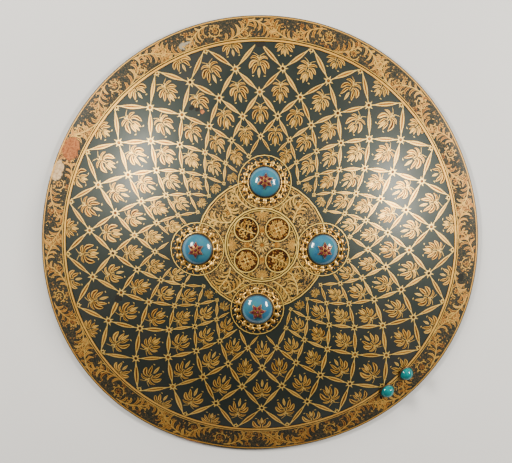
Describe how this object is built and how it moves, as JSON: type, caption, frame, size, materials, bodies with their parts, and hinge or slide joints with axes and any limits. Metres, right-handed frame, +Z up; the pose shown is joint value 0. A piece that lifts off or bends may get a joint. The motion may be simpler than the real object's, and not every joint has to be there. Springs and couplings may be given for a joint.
{
  "type": "round buckler shield",
  "caption": "Round domed hide shield with a painted gold lattice, enamelled bosses set with stones, turquoise rim studs and leather grips inside.",
  "frame": {"origin": "centre of the shield's box, on the flat foot of the rim that it lies on", "axes": "+Z up through the crown of the dome; the two grips inside run along X; +X+Y diagonal is the side drawn uppermost"},
  "size_m": [0.5234, 0.5212, 0.1074],
  "materials": {
    "lacquered_hide": "glossy green-black lacquer with fine gold painting, worn and chipped",
    "gilt_metal": "polished gilding, darkened in the piercings",
    "blue_enamel": "glossy glass enamel",
    "ruby": "polished, foiled behind",
    "turquoise": "polished stone",
    "dark_metal": "tarnished",
    "grip_leather": "matt, rubbed"
  },
  "bodies": {
    "root": {"hide_shell": "lacquered_hide", "boss_northeast_cap": "blue_enamel", "boss_northeast_collar": "gilt_metal", "boss_northeast_star": "gilt_metal", "boss_northeast_ruby_1": "ruby", "boss_northeast_ruby_2": "ruby", "boss_northeast_ruby_3": "ruby", "boss_northeast_ruby_4": "ruby", "boss_northeast_ruby_5": "ruby", "boss_northeast_ruby_6": "ruby", "boss_northeast_ruby_centre": "ruby", "boss_northeast_rove": "dark_metal", "boss_northwest_cap": "blue_enamel", "boss_northwest_collar": "gilt_metal", "boss_northwest_star": "gilt_metal", "boss_northwest_ruby_1": "ruby", "boss_northwest_ruby_2": "ruby", "boss_northwest_ruby_3": "ruby", "boss_northwest_ruby_4": "ruby", "boss_northwest_ruby_5": "ruby", "boss_northwest_ruby_6": "ruby", "boss_northwest_ruby_centre": "ruby", "boss_northwest_rove": "dark_metal", "boss_southwest_cap": "blue_enamel", "boss_southwest_collar": "gilt_metal", "boss_southwest_star": "gilt_metal", "boss_southwest_ruby_1": "ruby", "boss_southwest_ruby_2": "ruby", "boss_southwest_ruby_3": "ruby", "boss_southwest_ruby_4": "ruby", "boss_southwest_ruby_5": "ruby", "boss_southwest_ruby_6": "ruby", "boss_southwest_ruby_centre": "ruby", "boss_southwest_rove": "dark_metal", "boss_southeast_cap": "blue_enamel", "boss_southeast_collar": "gilt_metal", "boss_southeast_star": "gilt_metal", "boss_southeast_ruby_1": "ruby", "boss_southeast_ruby_2": "ruby", "boss_southeast_ruby_3": "ruby", "boss_southeast_ruby_4": "ruby", "boss_southeast_ruby_5": "ruby", "boss_southeast_ruby_6": "ruby", "boss_southeast_ruby_centre": "ruby", "boss_southeast_rove": "dark_metal", "stud_right_turquoise": "turquoise", "stud_right_bezel": "dark_metal", "stud_left_turquoise": "turquoise", "stud_left_bezel": "dark_metal", "grip_north": "grip_leather", "grip_south": "grip_leather"}
  },
  "joints": []
}
